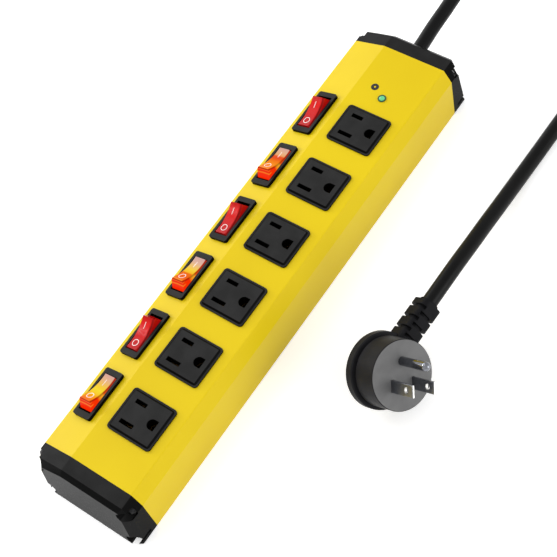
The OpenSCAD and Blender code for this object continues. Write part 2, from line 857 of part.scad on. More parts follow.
board_gap = 10;                             // from the board to the cap's lip
board_y = half_l - lip_l - board_l / 2 - board_gap;
varistor_r = 4.6;
varistor_t = 4;
lead_r = 1;                                 // one wire of the cord
lead_ring = 2.3;                            // circle of the three wires inside the cord
lead_bend = 9;
lead_low = 8;                               // height of the wires under the board
board_side = 7.1;                           // from the board's edge to the body's side
board_x = body_w / 2 - board_side - board_w / 2;

module surge_board() {
    color("darkgreen")
        block([board_w, board_l, board_t], [board_x, board_y, board_z + board_t / 2]);
}

module board_posts() {
    color("whitesmoke")
        for (x = [-1, 1], y = [-1, 1])
            translate([board_x + x * (board_w / 2 - 3), board_y + y * (board_l / 2 - 3), wall + seat])
                cylinder(h = board_z - wall - 2 * seat, r = 2.4);
}

module varistors() {
    pitch_x = varistor_t * 2;
    color("royalblue")
        for (i = [-1 : 1])
            translate([board_x + 3 + i * pitch_x, board_y + board_l / 4, board_z + board_t + seat + varistor_r + 0.4])
                rotate([0, 90, 0]) {
                    cylinder(h = varistor_t, r = varistor_r, center = true);
                    for (y = [-2.5, 2.5])
                        translate([varistor_r - 2, y, 0]) block([4.8, 0.6, 0.6], [0, 0, 0]);
                }
}

// The cord's three wires part behind the strap and run under the board to the bus bars
module supply_lead(a, x, end) {
    start = [cord_x, saddle_y - 0.7, cord_z];
    left = board_x - board_w / 2;
    out = [cos(a), 0, sin(a)];
    tube([
        start + lead_ring * out, start + 1.6 * lead_ring * out - lead_bend * [0, 0.33, 0.17],
        [left + x[0] * lead_bend, start.y - 0.85 * lead_bend, lead_low + 0.3 * lead_bend],
        [left + x[1] * lead_bend, start.y - 2.1 * lead_bend, lead_low],
        [left + x[2] * lead_bend, end.y + 1.05 * lead_bend, lead_low + 0.05 * lead_bend],
        end + [0, 0.2 * lead_bend, 0.02 * lead_bend], end - [0, 0.55 * lead_bend, 0]
    ], lead_r, 8);
}

module supply_leads() {
    bar_end = row_shift + bus_l / 2;
    bar_top = body_h - bus_depth + lead_r + 0.1;
    live_end = facet_mid + (line_tab - lead_r - 0.1) * [sin(facet_a), 0, -cos(facet_a)];
    color("black")
        supply_lead(180, [-0.4, -1, -0.9], live_end + [0, bar_end, 0]);
    color("white")
        supply_lead(-80, [1, 1.05, 1.04], [slot_x - tail_side, bar_end, bar_top]);
    color("green")
        supply_lead(10, [1.8, 2.1, 2.4], [ground_x, bar_end, bar_top]);
}

// ---- Cord ----
coil_mid = [104, 300];
coil_lift = 0.7;
coil_r = 47;                                // middle of the turns
turns_across = 3;                           // turns side by side in the lower layer
layer_rise = cord_d * sqrt(3) / 2;          // the upper layer lies in the grooves of the lower one
coil_in = coil_r - turns_across * cord_d / 2;
coil_out = coil_r + turns_across * cord_d / 2;
coil_h = cord_d + layer_rise;
strip_route = [
    [-2, 140.5, 19], [-2, 150, 19], [-2, 165, 19], [-3, 180, 19], [-3.5, 195, 19], [-4, 209, 19],
    [-2.5, 222, 18.2], [2, 233.5, 15.6], [9, 243.5, 11.6], [17, 251.5, 7.6], [24, 256.5, 5.2], [31, 261.5, 4.8],
    [37.5, 266.5, 6.4], [43, 273.5, 9.8], [47.5, 280.5, 12.8], [50.5, 288.5, 14.2], [52, 296, 13.6],
    [52.5, 303, 12.8]
];
plug_route = [
    [140, 257.5, 5], [128.5, 248, 4.8], [117.5, 239, 4.6], [107, 230, 4.5], [97.5, 219, 4.5], [92, 207, 4.5],
    [89.5, 194, 4.5], [89.2, 181, 4.5], [89.1, 167, 4.5], [88.8, 153, 4.5], [88.5, 138, 4.6], [88.4, 123, 5.4],
    [88.8, 109, 7.6], [89.4, 95, 10.4], [90, 81, 13.4], [90.7, 67, 16.2], [91.1, 54, 18.5], [91.3, 41, 19.7],
    [91.2, 30, 19.8], [91, 22.3, 19.5], [90.8, 15.6, 19.2]
];

module cord_at_strip() {
    color([0.12, 0.12, 0.12]) tube(strip_route, cord_d / 2, 10);
}

module cord_at_plug() {
    color([0.12, 0.12, 0.12]) tube(plug_route, cord_d / 2, 10);
}

module cord_coil() {
    color([0.12, 0.12, 0.12])
        translate([coil_mid.x, coil_mid.y, coil_lift])
            rotate_extrude()
                polygon(rounded([[coil_in, 0], [coil_out, 0], [coil_out - 4, coil_h], [coil_in + 4, coil_h]], 3));
}

module coil_tie() {
    gap = 0.1;
    strap = 0.5;
    color("black")
        difference() {
            block([coil_out - coil_in + 2 * (gap + strap), 8, coil_h + 2 * (gap + strap)],
                  [coil_mid.x + (coil_in + coil_out) / 2, coil_mid.y, coil_lift + coil_h / 2]);
            block([coil_out - coil_in + 2 * gap + 0.4, 10, coil_h + 2 * gap],
                  [coil_mid.x + (coil_in + coil_out) / 2, coil_mid.y, coil_lift + coil_h / 2]);
        }
}

// ---- Plug ----
plug_face = [104.5, -21.4, plug_rim_r * cos(plug_lean) + plug_t * sin(plug_lean)];
groove_w = 1.2;
groove_d = 0.9;
pin_tail_r = 1.9;
pin_tail = 6;                               // depth of the pins in the plug
relief_depth = 19;                          // from the plug's face to the cord's middle
relief_l = relief_ribs * relief_pitch + relief_rib;
relief_stem_r = cord_d / 2 + 0.9;
relief_root = 5;                            // depth of the stem in the plug
relief_cord = 35.9;                         // from the plug's axis to the cord's end

// Plug space: origin in the middle of the front face, Z out of it, Y along the cord
module at_plug() {
    translate(plug_face)
        rotate([0, 90 - plug_lean, plug_yaw])
            rotate([0, 0, plug_roll]) children();
}

module at_pins() {
    at_plug()
        rotate([0, 0, plug_turn]) children();
}

module at_relief() {
    at_plug()
        translate([0, 0, -relief_depth]) children();
}

module plug_body() {
    front_l = plug_t - plug_rim_t;
    dome_r = plug_rim_r - 1;
    color([0.22, 0.22, 0.22])
        difference() {
            at_plug()
                rotate_extrude()
                    polygon([
                        [0, 0], [plug_r - 0.5, 0], [plug_r, -0.5], [plug_r, groove_w - front_l],
                        [plug_r - groove_d, groove_w - front_l - 0.2], [plug_r - groove_d, -front_l],
                        [plug_rim_r - 0.6, -front_l], [plug_rim_r, -front_l - 0.6], [plug_rim_r, -plug_t + 0.6],
                        for (a = [0 : 15 : 90]) [dome_r * cos(a), -plug_t - plug_dome * sin(a)]
                    ]);
            at_pins() {
                for (s = [-1, 1])
                    block([blade_t + 2 * seat, blade_w + 2 * seat, 2 * pin_tail], [s * blade_gap / 2, -blade_drop, 0]);
                translate([0, ground_gap - blade_drop, -pin_tail]) cylinder(h = 2 * pin_tail, r = pin_tail_r + seat);
            }
            at_relief() rod(plug_r - relief_root, big, relief_stem_r + seat);
        }
}

// Ribbed sleeve: a square sleeve slotted from one side and the other in turn
module relief_sleeve() {
    slot_t = relief_pitch / 2 - relief_rib;
    difference() {
        at_relief()
            difference() {
                translate([0, plug_rim_r + relief_l, 0])
                    rotate([90, 0, 0])
                        rounded_block(relief_w, relief_w, relief_corner, 0, relief_l + relief_root);
                for (i = [0 : 2 * relief_ribs - 1])
                    rotate([0, i % 2 == 0 ? -35 : 145, 0])
                        block([relief_w, slot_t, 2 * relief_w],
                              [relief_w / 2 - 0.6, plug_rim_r + (i + 0.2) * relief_pitch / 2, 0]);
            }
        at_plug() {
            translate([0, 0, -plug_t]) cylinder(h = plug_t + cut, r = plug_r + seat);
            translate([0, 0, plug_rim_t - plug_t - big]) cylinder(h = big + seat, r = plug_rim_r + seat);
        }
    }
}

module plug_relief() {
    color([0.2, 0.2, 0.2])
        difference() {
            union() {
                relief_sleeve();
                at_relief()
                    rod(plug_r - relief_root + seat, plug_rim_r - plug_r + relief_root + relief_l + 1.4, relief_stem_r);
            }
            at_relief() rod(relief_cord - seat, big, cord_d / 2 + fit);
        }
}

module plug_blades() {
    tip = blade_l + pin_tail;
    color("silver")
        at_pins()
            for (s = [-1, 1])
                translate([s * blade_gap / 2, -blade_drop, seat - pin_tail])
                    difference() {
                        rotate([90, 0, 0])
                            linear_extrude(blade_w, center = true)
                                polygon([
                                    [-blade_t / 2, 0], [blade_t / 2, 0], [blade_t / 2, tip - 1.2],
                                    [blade_t / 4, tip], [-blade_t / 4, tip], [-blade_t / 2, tip - 1.2]
                                ]);
                        translate([0, 0, tip - 5])
                            rotate([0, 90, 0]) cylinder(h = 4, r = 1.55, center = true);
                    }
}

module plug_ground_pin() {
    color("silver")
        at_pins()
            translate([0, ground_gap - blade_drop, 0]) {
                translate([0, 0, seat - pin_tail]) cylinder(h = 2 * pin_tail, r = pin_tail_r);
                translate([0, 0, seat]) cylinder(h = pin_l - pin_r - seat, r = pin_r);
                translate([0, 0, pin_l - pin_r]) sphere(r = pin_r);
            }
}

extruded_body();
front_end_cap();
rear_end_cap();
front_cap_screws();
rear_cap_screws();
live_contacts();
neutral_contacts();
ground_contacts();
outlet(1);  // outlet_1
outlet(2);  // outlet_2
outlet(3);  // outlet_3
outlet(4);  // outlet_4
outlet(5);  // outlet_5
outlet(6);  // outlet_6
switch_case(1);  // switch_case_1
switch_case(2);  // switch_case_2
switch_case(3);  // switch_case_3
switch_case(4);  // switch_case_4
switch_case(5);  // switch_case_5
switch_case(6);  // switch_case_6
rocker(1);  // rocker_1
rocker(2);  // rocker_2
rocker(3);  // rocker_3
rocker(4);  // rocker_4
rocker(5);  // rocker_5
rocker(6);  // rocker_6
plunger(1);  // plunger_1
plunger(2);  // plunger_2
plunger(3);  // plunger_3
plunger(4);  // plunger_4
plunger(5);  // plunger_5
plunger(6);  // plunger_6
lever(1);  // lever_1
lever(2);  // lever_2
lever(3);  // lever_3
lever(4);  // lever_4
lever(5);  // lever_5
lever(6);  // lever_6
switch_terminals();
neon_lamps();
live_bus();
neutral_bus();
ground_bus();
switch_leads();
indicator_holder();
indicator_lens();
surge_board();
board_posts();
varistors();
cord_strap();
strap_screws();
supply_leads();
cord_at_strip();
cord_coil();
coil_tie();
cord_at_plug();
plug_body();
plug_relief();
plug_blades();
plug_ground_pin();
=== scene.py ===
# Power strip with a rocker switch for each outlet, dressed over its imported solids.
# The middle of the strip's underside is the origin, +Y runs to the cord and +X to the outlets.
import json
import math

import bpy
import bmesh
from mathutils import Euler, Matrix, Quaternion, Vector


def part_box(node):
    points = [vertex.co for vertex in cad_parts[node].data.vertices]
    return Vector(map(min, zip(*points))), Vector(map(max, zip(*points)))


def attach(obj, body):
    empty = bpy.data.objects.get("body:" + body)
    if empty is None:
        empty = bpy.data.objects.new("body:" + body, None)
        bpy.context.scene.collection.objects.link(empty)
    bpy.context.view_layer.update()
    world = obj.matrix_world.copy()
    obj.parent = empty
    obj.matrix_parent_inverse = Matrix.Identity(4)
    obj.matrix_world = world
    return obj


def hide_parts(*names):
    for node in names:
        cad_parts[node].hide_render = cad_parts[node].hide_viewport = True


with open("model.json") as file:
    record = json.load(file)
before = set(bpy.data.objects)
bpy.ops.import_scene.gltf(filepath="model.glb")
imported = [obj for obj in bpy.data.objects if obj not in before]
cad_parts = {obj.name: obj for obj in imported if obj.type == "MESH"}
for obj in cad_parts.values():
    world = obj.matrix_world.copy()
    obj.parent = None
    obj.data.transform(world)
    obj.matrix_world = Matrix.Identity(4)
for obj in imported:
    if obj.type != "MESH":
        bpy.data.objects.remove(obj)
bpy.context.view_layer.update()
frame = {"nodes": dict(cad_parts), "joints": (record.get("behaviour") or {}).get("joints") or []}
nodes = frame["nodes"]
jointOf = {joint["name"]: joint for joint in frame["joints"]}
mm = 0.001
six = range(1, 7)
lit = (2, 4, 6)  # the switches that are on
print("stage: solids loaded,", len(nodes), "nodes")

view = {
    "place": (303.2, -231.0, 627.3),  # mm
    "turn": -51.81,                   # degrees from +Y towards +X
    "down": 58.76,                    # degrees below level
    "roll": -19.58,                   # degrees
    "lens": 86.03,                    # mm
    "sensor": 36,                     # mm
    "nearest": 0.01,                  # m
    "farthest": 20,                   # m
}


def makeCamera():
    turn, down = math.radians(view["turn"]), math.radians(view["down"])
    look = Vector((math.sin(turn) * math.cos(down), math.cos(turn) * math.cos(down), -math.sin(down)))
    data = bpy.data.cameras.new("camera")
    data.lens = view["lens"]
    data.sensor_width = view["sensor"]
    data.clip_start, data.clip_end = view["nearest"], view["farthest"]
    camera = bpy.data.objects.new("camera", data)
    bpy.context.scene.collection.objects.link(camera)
    camera.location = Vector(view["place"]) * mm
    camera.rotation_mode = "QUATERNION"
    roll = Quaternion((0, 0, 1), math.radians(view["roll"]))
    camera.rotation_quaternion = look.to_track_quat("-Z", "Y") @ roll
    bpy.context.scene.camera = camera


makeCamera()

cord = {
    "diameter": 8.6,                      # mm
    "length": 1830,                       # six feet, from the cap to the plug
    "exit": (-2, 158, 19),
    "coilMiddle": (104, 300),
    "lift": 0.7,                          # the tie under the coil
    "rings": (51.3, 42.7, 38.4, 47.0, 55.6),  # radii of two turns above, then of three below
    "stepAt": (0.72, 1.65, 2.62, 3.62),   # the turns at which it moves on to the next radius
    "stepLength": (0.25, 0.2, 0.2, 0.2),  # and the part of a turn that each move takes
    "downStep": 1,                        # the step that leaves the upper layer
    "turns": 4.64,
    "pointsPerTurn": 18,
    "closeness": 4,                       # points of the drawn line for each point of the route
    "roundness": 8,
}
stripRoute = [
    (-2, 140.5, 19), (-2, 150, 19), (-2, 165, 19), (-3, 180, 19), (-3.5, 195, 19), (-4, 209, 19),
    (-2.5, 222, 18.2), (2, 233.5, 15.6), (9, 243.5, 11.6), (17, 251.5, 7.6), (24, 256.5, 5.2),
    (31, 261.5, 4.8), (37.5, 266.5, 6.4), (43, 273.5, 9.8), (47.5, 280.5, 12.8), (50.5, 288.5, 14.2),
    (52, 296, 13.6), (52.5, 303, 12.8),
]
plugRoute = [
    (140, 257.5, 5), (128.5, 248, 4.8), (117.5, 239, 4.6), (107, 230, 4.5), (97.5, 219, 4.5),
    (92, 207, 4.5), (89.5, 194, 4.5), (89.2, 181, 4.5), (89.1, 167, 4.5), (88.8, 153, 4.5),
    (88.5, 138, 4.6), (88.4, 123, 5.4), (88.8, 109, 7.6), (89.4, 95, 10.4), (90, 81, 13.4),
    (90.7, 67, 16.2), (91.1, 54, 18.5), (91.3, 41, 19.7), (91.2, 30, 19.8), (91, 22.3, 19.5),
    (90.8, 15.6, 19.2),
]


def ease(t):
    t = max(0.0, min(1.0, t))
    return t * t * (3 - 2 * t)


def coilPoint(turn):
    # the lower turns touch side by side, and the upper ones lie in the grooves between them
    rings = cord["rings"]
    moved = [ease((turn - start) / length) for start, length in zip(cord["stepAt"], cord["stepLength"])]
    radius = rings[0]
    for i, share in enumerate(moved):
        radius += (rings[i + 1] - rings[i]) * share
    high = cord["diameter"] * (0.5 + math.sqrt(3) / 2) + cord["lift"]
    low = cord["diameter"] * 0.5 + cord["lift"]
    height = high + (low - high) * moved[cord["downStep"]]
    angle = math.pi - 2 * math.pi * turn
    x, y = cord["coilMiddle"]
    return (x + radius * math.cos(angle), y + radius * math.sin(angle), height)


def smoothLine(points, closeness):
    # passes through every point
    out = []
    for i in range(len(points) - 1):
        p0, p1 = points[max(i - 1, 0)], points[i]
        p2, p3 = points[i + 1], points[min(i + 2, len(points) - 1)]
        for j in range(closeness):
            t = j / closeness
            out.append(0.5 * (2 * p1 + (p2 - p0) * t + (2 * p0 - 5 * p1 + 4 * p2 - p3) * t * t
                              + (3 * p1 - p0 - 3 * p2 + p3) * t ** 3))
    out.append(points[-1])
    return out


def tubeCurve(name, points, radius, roundness):
    data = bpy.data.curves.new(name, "CURVE")
    data.dimensions = "3D"
    data.bevel_depth = 1  # the points hold the thickness
    data.bevel_resolution = roundness
    data.use_fill_caps = True
    spline = data.splines.new("POLY")
    spline.points.add(len(points) - 1)
    for target, point in zip(spline.points, points):
        target.co = (*point, 1)
        target.radius = radius
    spline.use_smooth = True
    piece = bpy.data.objects.new(name, data)
    bpy.context.scene.collection.objects.link(piece)
    return piece


def makeCord():
    count = int(cord["turns"] * cord["pointsPerTurn"])
    coil = [coilPoint(i / cord["pointsPerTurn"]) for i in range(1, count)]
    route = [Vector(p) * mm for p in stripRoute + coil + plugRoute]
    line = smoothLine(route, cord["closeness"])
    piece = tubeCurve("powerCord", line, cord["diameter"] * mm / 2, cord["roundness"])
    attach(piece, "power_strip")
    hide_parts("cord_at_strip", "cord_coil", "cord_at_plug")
    return piece


powerCord = makeCord()
print("stage: cord laid")


def toLinear(hexColour):
    # sRGB hex to the linear numbers that the shaders take
    parts = [int(hexColour[i:i + 2], 16) / 255 for i in (1, 3, 5)]
    return [p / 12.92 if p <= 0.04045 else ((p + 0.055) / 1.055) ** 2.4 for p in parts] + [1]


def addNode(tree, kind, settings=None, links=None, **attributes):
    node = tree.nodes.new(kind)
    for key, value in attributes.items():
        setattr(node, key, value)
    for key, value in (settings or {}).items():
        node.inputs[key].default_value = value
    for key, source in (links or {}).items():
        tree.links.new(source, node.inputs[key])
    return node


def startMaterial(name, settings):
    material = bpy.data.materials.new(name)
    material.use_nodes = True
    tree = material.node_tree
    tree.nodes.clear()
    shader = addNode(tree, "ShaderNodeBsdfPrincipled", settings)
    addNode(tree, "ShaderNodeOutputMaterial", links={"Surface": shader.outputs["BSDF"]})
    return material, tree, shader


def perMetre(size):
    # a pattern's scale from its real size in mm
    return 1000 / size


def fillRamp(ramp, stops):
    # stops are (position, hex colour), in order
    for i, (position, colour) in enumerate(stops):
        stop = ramp.color_ramp.elements[i] if i < 2 else ramp.color_ramp.elements.new(position)
        stop.position = position
        stop.color = toLinear(colour)


def rampAlong(tree, value, lowest, highest, stops):
    spread = addNode(tree, "ShaderNodeMapRange", {"From Min": lowest, "From Max": highest},
                     {"Value": value})
    ramp = addNode(tree, "ShaderNodeValToRGB", links={"Fac": spread.outputs["Result"]})
    fillRamp(ramp, stops)
    return ramp.outputs["Color"]


def mottle(tree, dark, light, patch):
    # two close shades in soft patches, patch mm apart
    place = addNode(tree, "ShaderNodeTexCoord")
    noise = addNode(tree, "ShaderNodeTexNoise", {"Scale": perMetre(patch), "Detail": 2},
                    {"Vector": place.outputs["Object"]})
    ramp = addNode(tree, "ShaderNodeValToRGB", links={"Fac": noise.outputs["Fac"]})
    fillRamp(ramp, [(0.35, dark), (0.65, light)])
    return ramp.outputs["Color"]


def grain(tree, shader, grainSize, relief, rough):
    # fine relief, relief mm deep, and a roughness that follows it
    place = addNode(tree, "ShaderNodeTexCoord")
    noise = addNode(tree, "ShaderNodeTexNoise", {"Scale": perMetre(grainSize), "Detail": 3},
                    {"Vector": place.outputs["Object"]})
    bump = addNode(tree, "ShaderNodeBump", {"Strength": 1, "Distance": relief * mm},
                   {"Height": noise.outputs["Fac"]})
    tree.links.new(bump.outputs["Normal"], shader.inputs["Normal"])
    spread = addNode(tree, "ShaderNodeMapRange", {"To Min": rough[0], "To Max": rough[1]},
                     {"Value": noise.outputs["Fac"]})
    tree.links.new(spread.outputs["Result"], shader.inputs["Roughness"])
    return spread.outputs["Result"]


def facing(tree, direction, lowest, highest):
    # 1 where the surface faces that way, in the piece's own space
    place = addNode(tree, "ShaderNodeTexCoord")
    along = addNode(tree, "ShaderNodeVectorMath", {1: direction}, {0: place.outputs["Normal"]},
                    operation="DOT_PRODUCT")
    return addNode(tree, "ShaderNodeMapRange", {"From Min": lowest, "From Max": highest},
                   {"Value": along.outputs["Value"]}).outputs["Result"]


def makeMoulded(name, dark, light, rough, grainSize, relief, specular=0.5, patch=9, front=None,
                spread=(0.88, 0.97), walls="#030303"):
    # with a front direction, only the faces that way have the grained shade, and the walls are darkened as
    # painted shade
    material, tree, shader = startMaterial(name, {"IOR": 1.5, "Specular IOR Level": specular})
    colour = mottle(tree, dark, light, patch)
    if front:
        colour = addNode(tree, "ShaderNodeMix", {"A": toLinear(walls)},
                         {"Factor": facing(tree, front, *spread), "B": colour},
                         data_type="RGBA").outputs["Result"]
    tree.links.new(colour, shader.inputs["Base Color"])
    grain(tree, shader, grainSize, relief, rough)
    return material


metal = {
    "patch": 3,               # mm
    "grainSize": 0.8,         # mm
    "paintedHighlight": "#d6d5d1",
    "paintedHighlightFacing": (0.3, 0.5),
}


def makeMetal(name, dark, light, rough, relief=0.004, front=None):
    # with a front direction, the edges that way get a painted highlight
    material, tree, shader = startMaterial(name, {"Metallic": 1})
    colour = mottle(tree, dark, light, metal["patch"])
    if front:
        colour = addNode(tree, "ShaderNodeMix", {"B": toLinear(metal["paintedHighlight"])},
                         {"Factor": facing(tree, front, *metal["paintedHighlightFacing"]), "A": colour},
                         data_type="RGBA").outputs["Result"]
    tree.links.new(colour, shader.inputs["Base Color"])
    grain(tree, shader, metal["grainSize"], relief, rough)
    return material


def dress(names, material):
    for name in names:
        piece = nodes[name]
        piece.data.materials.clear()
        piece.data.materials.append(material)


up = (0, 0, 1)
pressAxis = jointOf["rocker_1_press"]["axis"]
offFacet = (-pressAxis[2], 0, pressAxis[0])  # straight out of the facet that the switches sit in

# sizes below are in mm: patch for the soft patches of shade, grainSize and relief for the fine surface

# polyester powder coat on an aluminium extrusion: even lemon yellow, faint orange peel, a broad soft gloss
body = {"dark": "#d6b904", "light": "#dcc007", "rough": (0.36, 0.48), "grainSize": 0.9, "relief": 0.012,
        "specular": 0.16, "patch": 60}
dress(["extruded_body"], makeMoulded("powderCoatYellow", **body))

# ABS from a polished mould: charcoal on top, with painted shade making it deep black round the edges
endCap = {"dark": "#242424", "light": "#292929", "rough": (0.24, 0.34), "grainSize": 1.2, "relief": 0.003,
          "specular": 0.02, "front": up, "spread": (0.78, 0.86), "walls": "#0c0c0c"}
dress(["front_end_cap", "rear_end_cap"], makeMoulded("absGlossBlack", **endCap))

# polycarbonate, moulded: satin faces, slopes made near black as painted shade
outlet = {"dark": "#272727", "light": "#2d2d2d", "rough": (0.4, 0.5), "grainSize": 0.6, "relief": 0.006,
          "specular": 0.04, "front": up}
dress(["outlet_%d" % k for k in six], makeMoulded("polycarbonateSatinBlack", **outlet))

# nylon 66, moulded: fine spark-eroded faces, sides darkened as painted shade
bezel = {"dark": "#282827", "light": "#2e2e2d", "rough": (0.42, 0.52), "grainSize": 0.5, "relief": 0.008,
         "specular": 0.04, "front": offFacet}
dress(["switch_case_%d" % k for k in six], makeMoulded("nylonBlack", **bezel))

# PVC sheath, extruded: smooth satin with faint long waviness
sheath = {"dark": "#030303", "light": "#060606", "rough": (0.3, 0.4), "grainSize": 1.6, "relief": 0.02,
          "specular": 0.12}
powerCord.data.materials.append(makeMoulded("pvcCordBlack", **sheath))

# woven hook-and-loop tie: dull, with a coarse pile that is drawn larger than life to show
tie = {"dark": "#0c0c0c", "light": "#1a1a1a", "rough": (0.8, 0.95), "grainSize": 0.35, "relief": 0.12,
       "specular": 0.2}
dress(["coil_tie"], makeMoulded("polyamideHookTie", **tie))

# zinc plated steel, clear passivated: a pale blue-grey satin
strap = {"dark": "#8d8e92", "light": "#a9aaae", "rough": (0.25, 0.38)}
dress(["strap_screws", "cord_strap"], makeMetal("zincPlatedSteel", **strap))

# steel screws in black zinc: dark with a faint glint
capScrews = {"dark": "#1c1c1d", "light": "#262627", "rough": (0.3, 0.42)}
dress(["front_cap_screws", "rear_cap_screws"], makeMetal("zincBlackSteel", **capScrews))

# phosphor bronze strip, rolled and stamped: brown, darkened all over as painted shade for the deep slots
contacts = {"dark": "#5d4522", "light": "#6d5129", "rough": (0.35, 0.5)}
contactNodes = ["live_contacts", "neutral_contacts", "ground_contacts", "switch_terminals"]
dress(contactNodes + ["lever_%d" % k for k in six], makeMetal("phosphorBronze", **contacts))

# copper bar, rolled: warm and slightly tarnished
busBars = {"dark": "#8a5233", "light": "#a2623f", "rough": (0.35, 0.5)}
dress(["live_bus", "neutral_bus", "ground_bus"], makeMetal("rolledCopper", **busBars))

# uncoloured nylon, moulded: milky off-white
plungers = {"dark": "#d8d5c8", "light": "#e4e1d5", "rough": (0.45, 0.55), "grainSize": 0.6, "relief": 0.006}
dress(["plunger_%d" % k for k in six] + ["board_posts"], makeMoulded("nylonNatural", **plungers))

# PVC insulation, extruded: plain satin black
leads = {"dark": "#101010", "light": "#151515", "rough": (0.4, 0.5), "grainSize": 0.8, "relief": 0.01}
dress(["switch_leads", "supply_leads"], makeMoulded("pvcLeadBlack", **leads))

# glass-epoxy laminate under green solder resist: smooth and a little glossy
board = {"dark": "#0c4a26", "light": "#115c30", "rough": (0.3, 0.4), "grainSize": 1.0, "relief": 0.01}
dress(["surge_board"], makeMoulded("glassEpoxyLaminate", **board))

# epoxy, dipped: glossy blue with the unevenness of a thick coat
varistors = {"dark": "#173f8c", "light": "#1c4aa0", "rough": (0.2, 0.3), "grainSize": 1.5, "relief": 0.05}
dress(["varistors"], makeMoulded("epoxyDipBlue", **varistors))

# ABS, moulded: dark green with a soft gloss
holder = {"dark": "#14482c", "light": "#1a5837", "rough": (0.25, 0.35), "grainSize": 0.6, "relief": 0.004}
dress(["indicator_holder"], makeMoulded("absDarkGreen", **holder))
print("stage: strip and cord finished")

plug = {
    "faceMiddle": (104.5, -21.4, 28.976),     # mm
    "faceNormal": (0.7933, -0.0583, 0.606),
    "satinDepth": 0.25,                       # mm, how far below the face the satin finish ends
    "barrel": ("#1e1e20", "#232325"),
    "satinAndPaintedSheen": ("#6b6b6b", "#737373"),
    "patch": 9,                               # mm
    "grainSize": 0.7,                         # mm
    "relief": 0.006,                          # mm
    "rough": (0.4, 0.48),
    "satinRough": 0.55,
    "specular": 0.04,
    "ior": 1.52,
}


def makePlugPvc():
    # PVC overmould: a smooth dark barrel, and a spark-eroded face that the pins stand in, paler with a
    # painted sheen
    material, tree, shader = startMaterial("pvcPlugBlack", {"IOR": plug["ior"],
                                                            "Specular IOR Level": plug["specular"]})
    barrel = mottle(tree, *plug["barrel"], plug["patch"])
    satinAndPaintedSheen = mottle(tree, *plug["satinAndPaintedSheen"], plug["patch"])
    barrelRough = grain(tree, shader, plug["grainSize"], plug["relief"], plug["rough"])
    place = addNode(tree, "ShaderNodeTexCoord")
    height = addNode(tree, "ShaderNodeVectorMath", {1: plug["faceNormal"]}, {0: place.outputs["Object"]},
                     operation="DOT_PRODUCT")
    face = Vector(plug["faceMiddle"]).dot(Vector(plug["faceNormal"]))
    onFace = addNode(tree, "ShaderNodeMapRange", {"From Min": (face - plug["satinDepth"]) * mm,
                                                  "From Max": (face - plug["satinDepth"] / 2) * mm},
                     {"Value": height.outputs["Value"]})
    colour = addNode(tree, "ShaderNodeMix", data_type="RGBA",
                     links={"Factor": onFace.outputs["Result"], "A": barrel, "B": satinAndPaintedSheen})
    rough = addNode(tree, "ShaderNodeMapRange", {"To Max": plug["satinRough"]},
                    {"Value": onFace.outputs["Result"], "To Min": barrelRough})
    tree.links.new(colour.outputs["Result"], shader.inputs["Base Color"])
    tree.links.new(rough.outputs["Result"], shader.inputs["Roughness"])
    return material


dress(["plug_body"], makePlugPvc())

# nickel on brass strip, tumbled to a soft dark sheen, with a painted highlight along its edges
blades = {"dark": "#74767c", "light": "#808288", "rough": (0.32, 0.42), "front": plug["faceNormal"]}
dress(["plug_blades"], makeMetal("nickelPlatedStrip", **blades))

# nickel on a turned brass pin, brighter than the strip
groundPin = {"dark": "#707278", "light": "#808288", "rough": (0.08, 0.14), "relief": 0.001}
dress(["plug_ground_pin"], makeMetal("nickelPlatedPin", **groundPin))

# the relief is the same PVC with a duller skin
plugRelief = {"dark": "#131315", "light": "#18181a", "rough": (0.46, 0.56), "grainSize": 0.7,
              "relief": 0.008, "specular": 0.05}
dress(["plug_relief"], makeMoulded("pvcReliefBlack", **plugRelief))
print("stage: plug finished")

